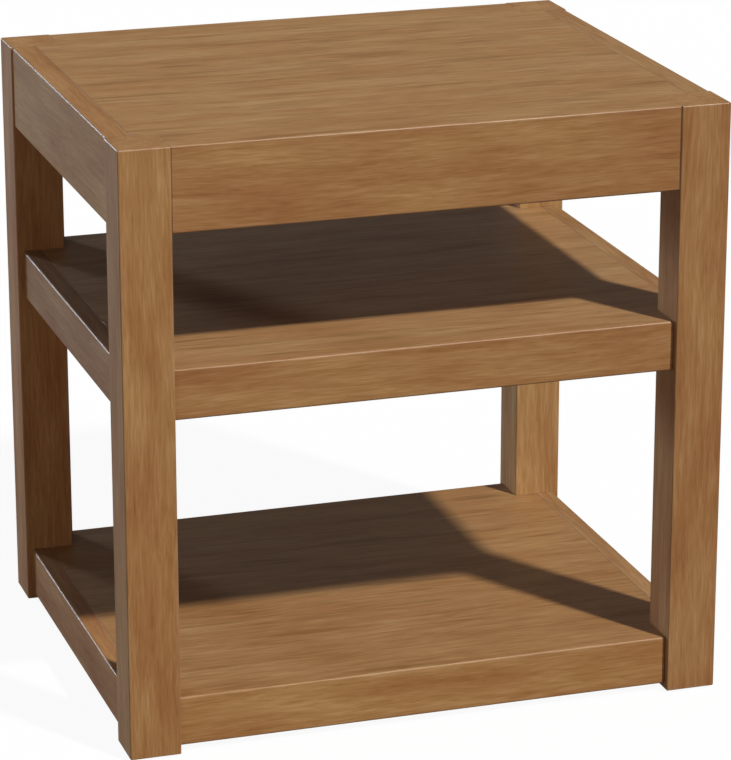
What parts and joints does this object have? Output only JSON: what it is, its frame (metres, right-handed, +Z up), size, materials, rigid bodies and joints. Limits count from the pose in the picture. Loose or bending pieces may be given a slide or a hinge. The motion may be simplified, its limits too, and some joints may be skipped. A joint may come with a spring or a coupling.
{
  "type": "end table",
  "caption": "Square-legged wooden end table: legs flush with the top at its corners, a deep apron all round, and thick open shelves below for storage.",
  "frame": {"origin": "centre of the footprint at floor level, under the four glides", "axes": "+X to the right across the width seen from the front, +Y from the front to the back, +Z up"},
  "size_m": [0.55, 0.45, 0.55],
  "materials": {
    "leg_wood": "satin, warm mid-brown stain",
    "panel_wood": "satin, warm mid-brown stain",
    "rail_wood": "satin, warm mid-brown stain",
    "frame_wood": "planed, unstained",
    "dowel_wood": "turned, unstained",
    "screw_steel": "zinc plated",
    "glide_plastic": "moulded, matte"
  },
  "bodies": {
    "root": {"apron_back": "rail_wood", "apron_front": "rail_wood", "apron_left": "rail_wood", "apron_right": "rail_wood", "bottom_shelf_cleat_back": "frame_wood", "bottom_shelf_cleat_front": "frame_wood", "bottom_shelf_cleat_screws": "screw_steel", "bottom_shelf_dowels": "dowel_wood", "bottom_shelf_panel": "panel_wood", "bottom_shelf_rail_back": "rail_wood", "bottom_shelf_rail_front": "rail_wood", "bottom_shelf_rail_left": "rail_wood", "bottom_shelf_rail_right": "rail_wood", "corner_block_back_left": "frame_wood", "corner_block_back_right": "frame_wood", "corner_block_front_left": "frame_wood", "corner_block_front_right": "frame_wood", "corner_block_screws": "screw_steel", "foot_glides": "glide_plastic", "leg_back_left": "leg_wood", "leg_back_right": "leg_wood", "leg_front_left": "leg_wood", "leg_front_right": "leg_wood", "middle_shelf_cleat_back": "frame_wood", "middle_shelf_cleat_front": "frame_wood", "middle_shelf_cleat_screws": "screw_steel", "middle_shelf_dowels": "dowel_wood", "middle_shelf_panel": "panel_wood", "middle_shelf_rail_back": "rail_wood", "middle_shelf_rail_front": "rail_wood", "middle_shelf_rail_left": "rail_wood", "middle_shelf_rail_right": "rail_wood", "top_cleat_back": "frame_wood", "top_cleat_front": "frame_wood", "top_cleat_screws": "screw_steel", "top_dowels": "dowel_wood", "top_panel": "panel_wood"}
  },
  "joints": []
}
